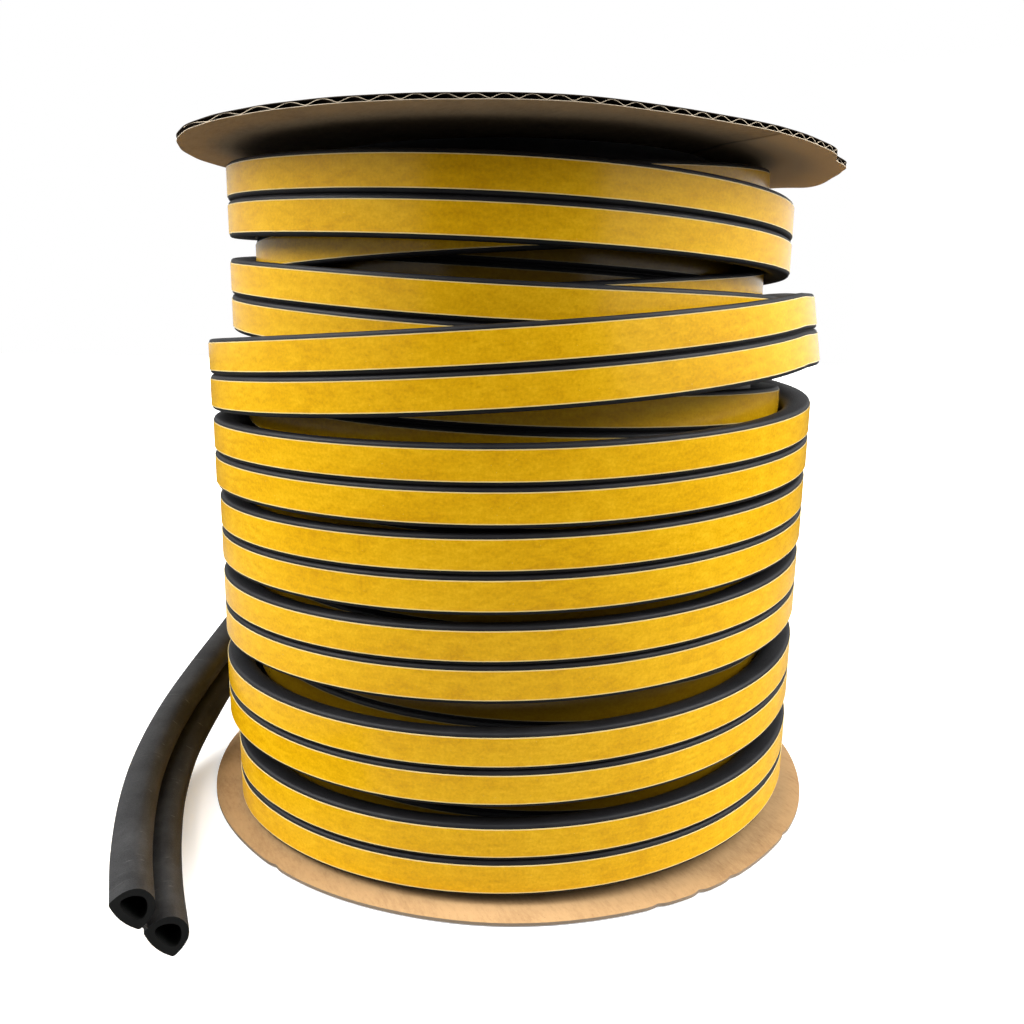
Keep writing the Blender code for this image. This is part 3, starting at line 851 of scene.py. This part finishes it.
def facing_mesh(under, lifts, rim, shift=0.0, pinch=0.0):
    """Round sheet between two lifts over a surface, from the bore to the rim, with its rim faces apart."""
    rings = len(RING_PLACES)
    vertices, faces, rim_faces = [], [], []
    for lift, pinched in zip(lifts, (pinch, -pinch)):
        for i in range(RIM_SIDES):
            angle = 360 * i / RIM_SIDES - 180
            for part in RING_PLACES:
                radius = TUBE_BORE_RADIUS + (rim(angle) - TUBE_BORE_RADIUS) * part
                x, y, _ = polar(angle, radius, 0)
                height = under(x, y) + lift + (pinched if part == 1 else 0)
                vertices.append((x + shift * part, y, height))
    layer = RIM_SIDES * rings
    for i in range(RIM_SIDES):
        here, after = i * rings, (i + 1) % RIM_SIDES * rings
        for j in range(rings - 1):
            a, b, c, d = here + j, here + j + 1, after + j + 1, after + j
            faces.append((d, c, b, a))
            faces.append((layer + a, layer + b, layer + c, layer + d))
        edge, next_edge = here + rings - 1, after + rings - 1
        rim_faces.append((edge, next_edge, layer + next_edge, layer + edge))
        faces.append((after, here, layer + here, layer + after))
    return vertices, faces, rim_faces


def flute_ring(across, end, cut):
    """Points of the wavy sheet at one place across the flutes, from their end inwards."""
    swing = BOARD_THICKNESS / 2 - FACING - FLUTE_SHEET / 2
    rise = (1 + sin(2 * pi * across / FLUTE_PITCH)) / 2
    wave = swing * (2 * rise**FLUTE_POWER - 1)
    length = sqrt(cut**2 - across**2)
    points = []
    for place in FLUTE_PLACES:
        along = end * max(length - FLUTE_DEPTH * place, 0)
        x = across * cos(FLUTE_ANGLE) - along * sin(FLUTE_ANGLE)
        y = across * sin(FLUTE_ANGLE) + along * cos(FLUTE_ANGLE)
        middle = top_under(x, y) + BOARD_THICKNESS / 2 + wave
        points += [(x + TOP_SHIFT, y, middle + side * FLUTE_SHEET / 2) for side in (-1, 1)]
    return points


def flute_mesh():
    """The wavy sheet where it shows at the rim: a band along both ends of every flute."""
    columns = int(2 * FLANGE_RADIUS / FLUTE_PITCH * FLUTE_COLUMNS)
    vertices, faces, end_faces = [], [], []
    for end in (1, -1):
        before = None
        for k in range(1, columns):
            across = (2 * k / columns - 1) * FLANGE_RADIUS
            reach = sqrt(FLANGE_RADIUS**2 - across**2)
            cut = top_rim(degrees(atan2(end * reach, across) + FLUTE_ANGLE)) - FLUTE_INSET
            if abs(across) >= cut:
                before = None
                continue
            first = len(vertices)
            vertices += flute_ring(across, end, cut)
            if before is not None:
                for j in range(len(FLUTE_PLACES) - 1):
                    a, b, c, d = (s + 2 * j for s in (before, first, first + 2, before + 2))
                    faces += [(a, b, c, d), (d + 1, c + 1, b + 1, a + 1)]
                end_faces.append((before, before + 1, first + 1, first))
            before = first
    return vertices, faces, end_faces


def make_top_board(outside, cut, inside):
    """Upper flange: kraft facings, pale cut edges, and painted shade on the inside of the board between the
    flutes.
    """
    outside_slot, cut_slot, inside_shade_slot = range(3)
    vertices, faces, slots = [], [], []
    for lift, is_upper in ((0, False), (BOARD_THICKNESS - FACING, True)):
        points, flat, edges = facing_mesh(top_under, (lift, lift + FACING), top_rim, TOP_SHIFT)
        count = len(vertices)
        vertices += points
        for face in flat:
            faces.append(tuple(v + count for v in face))
            on_top = any(v >= len(points) // 2 for v in face)
            slots.append(outside_slot if on_top == is_upper else inside_shade_slot)
        for face in edges:
            faces.append(tuple(v + count for v in face))
            # The upper facing's rim takes the same dark colour.
            slots.append(inside_shade_slot if is_upper else cut_slot)
    board = mesh_object("board_top", vertices, faces, [outside, cut, inside], slots=slots)
    add_piece(board, "cardboard", "flange_top")
    points, flat, ends = flute_mesh()
    # The wavy sheet's faces take the painted shade, its ends the pale cut edge.
    slots = [1] * len(flat) + [0] * len(ends)
    flutes = mesh_object("board_top_flutes", points, flat + ends, [cut, inside], slots=slots, angle=50)
    add_piece(flutes, "cardboard")


def make_bottom_board(outside, worn):
    """Lower flange: its facings are pinched together at the worn rim."""
    points, flat, edges = facing_mesh(level_under, (0, BOARD_THICKNESS), bottom_rim, pinch=RIM_PINCH)
    slots = [0] * len(flat) + [1] * len(edges)
    board = mesh_object("board_bottom", points, flat + edges, [outside, worn], slots=slots)
    add_piece(board, "cardboard", "flange_bottom")


def make_camera():
    data = bpy.data.cameras.new("camera")
    data.sensor_width = SENSOR
    data.lens = FOCAL_PIXELS / FRAME_PIXELS * SENSOR
    camera = bpy.data.objects.new("camera", data)
    aim = Matrix.Rotation(pi / 2 - CAMERA_PITCH, 4, "X") @ Matrix.Rotation(CAMERA_ROLL, 4, "Z")
    camera.matrix_world = Matrix.Translation((0, -CAMERA_DISTANCE, CAMERA_HEIGHT)) @ aim
    bpy.context.scene.collection.objects.link(camera)
    bpy.context.scene.camera = camera


def dress_tube():
    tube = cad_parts["core_tube"]
    tube.data.materials.clear()
    tube.data.materials.append(tube_material())


def make_floor():
    signs = ((-1, -1), (1, -1), (1, 1), (-1, 1))
    corners = [(x * FLOOR_SIZE, y * FLOOR_SIZE, -FLOOR_DROP) for x, y in signs]
    mesh_object("floor", corners, [(0, 1, 2, 3)], [floor_material()])


def make_light():
    """A white studio with soft light from both sides and from above, and a dark place in front."""
    w = Nodes(bpy.data.worlds.new("studio"))
    x, y, z = w.separated(w.add("ShaderNodeTexCoord").outputs["Generated"])
    level_run = w.math("SQRT", w.math("ADD", w.math("MULTIPLY", x, x), w.math("MULTIPLY", y, y)))
    sideways = w.math("DIVIDE", w.math("ABSOLUTE", x), w.math("MAXIMUM", level_run, 0.001))
    side = w.math("POWER", sideways, SIDE_TIGHTNESS)
    side = w.math("MULTIPLY", side, w.level(z, *SIDE_HEIGHTS))
    side = w.math("MULTIPLY", side, w.level(z, *SIDE_TOPS, 1, 0))
    side = w.math("MULTIPLY", side, w.level(y, *SIDE_DEPTHS, SIDE_LIGHT, SIDE_LIGHT * SIDE_BEHIND))
    top = w.math("MULTIPLY", w.math("POWER", w.math("MAXIMUM", z, 0.0), 2.0), TOP_LIGHT)
    low = w.level(x, *LOW_SIDES, LOW_LEFT * LOW_LIGHT, LOW_LIGHT)
    low = w.math("MULTIPLY", w.level(z, *LOW_HEIGHTS), low)
    around = w.math("ADD", w.math("ADD", side, top), w.math("ADD", low, ROUND_LIGHT))
    front = w.level(y, *FRONT_EDGES, FRONT_SHARE, 1.0)
    seen = w.add("ShaderNodeLightPath").outputs["Is Camera Ray"]
    w.set(Color=(1, 1, 1, 1), Strength=w.math("MAXIMUM", w.math("MULTIPLY", around, front), seen))
    bpy.context.scene.world = w.owner


make_camera()
rubber = rubber_material("rubber", RUBBER_TINT)
dusty = rubber_material("rubber_dusty", HANDLED_TINT, HANDLED_DUST)
paper = liner_material("liner_paper")
covered_paper_painted_shade = liner_material("liner_paper_covered_painted_shade", COVERED_PAINTED_SHADE)
deep_paper_painted_shade = liner_material("liner_paper_deep_painted_shade", DEEP_PAINTED_SHADE)
cut_and_hollow_shade_rubber = rubber_material("rubber_cut_and_hollow_shade", CUT_AND_HOLLOW_SHADE_TINT)
make_loose_end(dusty, cut_and_hollow_shade_rubber, paper)
make_winding(rubber, paper, covered_paper_painted_shade, deep_paper_painted_shade)
make_core(rubber)
kraft_top = cardboard_material("kraft_top", *KRAFT_TOP, crease_light_and_shade=True)
kraft_bottom = cardboard_material("kraft_bottom", *KRAFT_BOTTOM)
cut_edge = plain_material("board_cut_edge", CUT_EDGE)
board_inside_shade = plain_material("board_inside_shade", BOARD_INSIDE_SHADE)
worn_edge = plain_material("board_worn_edge", WORN_EDGE)
make_top_board(kraft_top, cut_edge, board_inside_shade)
make_bottom_board(kraft_bottom, worn_edge)
dress_tube()
make_floor()
make_light()
bpy.context.scene.view_settings.view_transform = "Standard"
